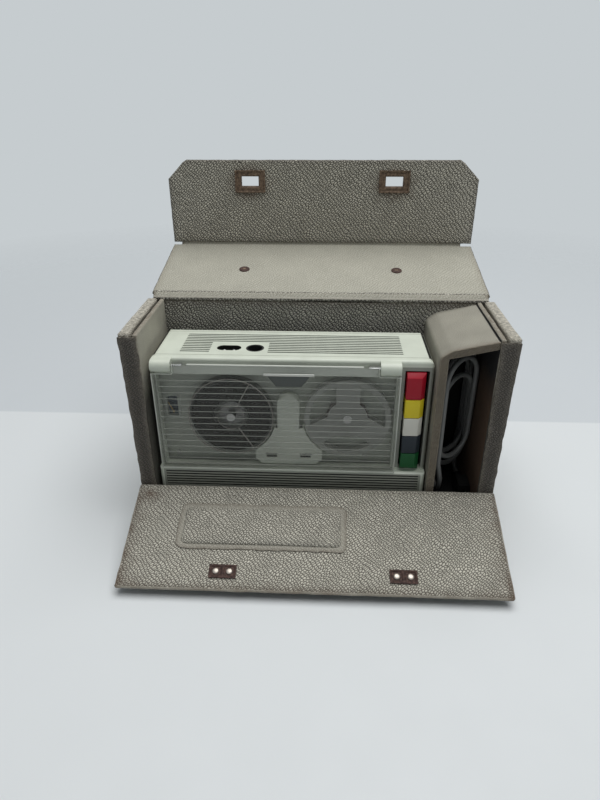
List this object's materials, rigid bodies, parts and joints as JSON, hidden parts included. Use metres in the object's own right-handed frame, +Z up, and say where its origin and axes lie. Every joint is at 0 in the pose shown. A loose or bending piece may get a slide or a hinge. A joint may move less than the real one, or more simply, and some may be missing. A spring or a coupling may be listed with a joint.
{
  "type": "portable tape recorder in carrying case",
  "caption": "Portable reel tape recorder with clear hinged lid and coloured piano keys, standing in an open leatherette case with flaps, turn locks and a cable compartment.",
  "frame": {"origin": "middle of the case's flat underside, on the surface that it stands on", "axes": "+X to the right along the case's width, +Y to the back, +Z up"},
  "size_m": [0.344, 0.3211, 0.3226],
  "materials": {
    "leatherette": "pebbled, worn",
    "lining": "smooth, stained",
    "dark_lining": "pebbled",
    "rusty_steel": "rusted",
    "housing": "fine satin",
    "deck": "satin",
    "clear_plastic": "clear, scuffed",
    "reel_clear": "clear",
    "reel_pale": "pale",
    "tape": "dull oxide",
    "steel": "satin",
    "brass": "satin",
    "black_plastic": "moulded",
    "rubber": "dull",
    "cable": "dull grey",
    "board": "phenolic",
    "iron": "lacquered",
    "meter": "dark",
    "key_red": "glossy",
    "key_yellow": "glossy",
    "key_white": "glossy",
    "key_slate": "glossy",
    "key_green": "glossy"
  },
  "bodies": {
    "case": {"back_panel": "leatherette", "base_panel": "leatherette", "base_liner": "dark_lining", "left_wall": "leatherette", "left_wall_liner": "leatherette", "right_wall": "leatherette", "right_wall_liner": "leatherette", "front_lip": "leatherette", "compartment_box": "leatherette", "stored_cable": "cable", "cable_plug": "black_plastic", "cable_connector": "black_plastic"},
    "flap": {"front_flap": "leatherette", "flap_pad": "leatherette", "lock_fittings": "rusty_steel"},
    "lock_left": {"lock_knob_left": "rusty_steel"},
    "lock_right": {"lock_knob_right": "rusty_steel"},
    "cover": {"top_cover": "lining", "handle_strap": "leatherette", "handle_rivets": "rusty_steel"},
    "tip": {"tip_flap": "leatherette", "eyelet_frames": "rusty_steel"},
    "recorder": {"cabinet": "housing", "front_bezel": "housing", "deck_plate": "deck", "head_cover": "housing", "record_head": "steel", "erase_head": "steel", "tape_guides": "steel", "motor": "iron", "transformer": "iron", "circuit_board": "board", "loudspeaker": "black_plastic", "mains_socket": "black_plastic", "signal_socket": "black_plastic", "level_meter": "meter", "key_shaft": "steel", "recorder_feet": "rubber", "housing_screws": "steel", "drive_belt": "rubber", "hinge_pins": "steel"},
    "lid": {"lid_cover": "clear_plastic"},
    "red_key": {"key_record": "key_red"},
    "yellow_key": {"key_rewind": "key_yellow"},
    "white_key": {"key_stop": "key_white"},
    "slate_key": {"key_play": "key_slate"},
    "green_key": {"key_forward": "key_green"},
    "left_reel": {"reel_left": "reel_clear", "tape_left": "tape", "spindle_left": "steel"},
    "right_reel": {"reel_right": "reel_pale", "tape_right": "tape", "spindle_right": "steel"},
    "flywheel": {"capstan_flywheel": "steel"},
    "pulley": {"motor_pulley": "brass"},
    "pinch": {"pinch_arm": "steel"},
    "roller": {"pinch_roller": "rubber"},
    "volume": {"volume_wheel": "black_plastic"},
    "needle": {"meter_needle": "brass"}
  },
  "joints": [
    {"name": "flap_fold", "type": "hinge", "parent": "case", "child": "flap", "pos_m": [0, -0.0564, 0.047], "axis": [1, 0, 0], "range_deg": [-110.84, 0]},
    {"name": "lock_left_turn", "type": "hinge", "parent": "flap", "child": "lock_left", "pos_m": [-0.079, -0.14051, 0.01498], "axis": [0, 0.3557, -0.9346], "range_deg": [0, 90]},
    {"name": "lock_right_turn", "type": "hinge", "parent": "flap", "child": "lock_right", "pos_m": [0.079, -0.14051, 0.01498], "axis": [0, 0.3557, -0.9346], "range_deg": [0, 90]},
    {"name": "cover_fold", "type": "hinge", "parent": "case", "child": "cover", "pos_m": [0, 0.05, 0.207], "axis": [-1, 0, 0], "range_deg": [-168, 30]},
    {"name": "tip_fold", "type": "hinge", "parent": "cover", "child": "tip", "pos_m": [0, 0.16121, 0.23064], "axis": [-1, 0, 0], "range_deg": [-12, 78]},
    {"name": "recorder_lift", "type": "slide", "parent": "case", "child": "recorder", "axis": [0, 0, 1], "range_m": [0, 0.2]},
    {"name": "lid_open", "type": "hinge", "parent": "recorder", "child": "lid", "pos_m": [-0.0375, -0.044, 0.17025], "axis": [-1, 0, 0], "range_deg": [0, 100]},
    {"name": "key_record_press", "type": "hinge", "parent": "recorder", "child": "red_key", "pos_m": [0.059, -0.0215, 0.1133], "axis": [0, 0, 1], "range_deg": [0, 5], "stiffness_Nm_per_rad": 0.6},
    {"name": "key_rewind_press", "type": "hinge", "parent": "recorder", "child": "yellow_key", "pos_m": [0.059, -0.0215, 0.1133], "axis": [0, 0, 1], "range_deg": [0, 5], "stiffness_Nm_per_rad": 0.6},
    {"name": "key_stop_press", "type": "hinge", "parent": "recorder", "child": "white_key", "pos_m": [0.059, -0.0215, 0.1133], "axis": [0, 0, 1], "range_deg": [0, 5], "stiffness_Nm_per_rad": 0.6},
    {"name": "key_play_press", "type": "hinge", "parent": "recorder", "child": "slate_key", "pos_m": [0.059, -0.0215, 0.1133], "axis": [0, 0, 1], "range_deg": [0, 5], "stiffness_Nm_per_rad": 0.6},
    {"name": "key_forward_press", "type": "hinge", "parent": "recorder", "child": "green_key", "pos_m": [0.059, -0.0215, 0.1133], "axis": [0, 0, 1], "range_deg": [0, 5], "stiffness_Nm_per_rad": 0.6},
    {"name": "left_reel_spin", "type": "hinge", "parent": "recorder", "child": "left_reel", "pos_m": [-0.0815, -0.034, 0.1143], "axis": [0, -1, 0], "continuous": true},
    {"name": "right_reel_spin", "type": "hinge", "parent": "recorder", "child": "right_reel", "pos_m": [0.0295, -0.034, 0.1143], "axis": [0, -1, 0], "continuous": true},
    {"name": "flywheel_spin", "type": "hinge", "parent": "recorder", "child": "flywheel", "pos_m": [-0.0132, -0.016, 0.0742], "axis": [0, -1, 0], "continuous": true},
    {"name": "pulley_spin", "type": "hinge", "parent": "recorder", "child": "pulley", "pos_m": [-0.079, -0.016, 0.0732], "axis": [0, -1, 0], "continuous": true},
    {"name": "pinch_swing", "type": "hinge", "parent": "recorder", "child": "pinch", "pos_m": [-0.0022, -0.029, 0.0685], "axis": [0, 1, 0], "range_deg": [0, 2.5]},
    {"name": "roller_spin", "type": "hinge", "parent": "pinch", "child": "roller", "pos_m": [-0.0132, -0.033, 0.0685], "axis": [0, -1, 0], "continuous": true},
    {"name": "volume_turn", "type": "hinge", "parent": "recorder", "child": "volume", "pos_m": [-0.1414, 0.005, 0.0983], "axis": [0, 0, 1], "range_deg": [0, 270]},
    {"name": "needle_swing", "type": "hinge", "parent": "recorder", "child": "needle", "pos_m": [-0.139, -0.027, 0.1131], "axis": [0, 1, 0], "range_deg": [0, 50], "stiffness_Nm_per_rad": 0.0005}
  ],
  "couplings": [
    {"joint": "right_reel_spin", "follows": "left_reel_spin", "ratio": 1.9},
    {"joint": "pulley_spin", "follows": "flywheel_spin", "ratio": 5.6},
    {"joint": "roller_spin", "follows": "flywheel_spin", "ratio": -0.44118},
    {"joint": "pinch_swing", "follows": "key_play_press", "ratio": 0.5}
  ]
}
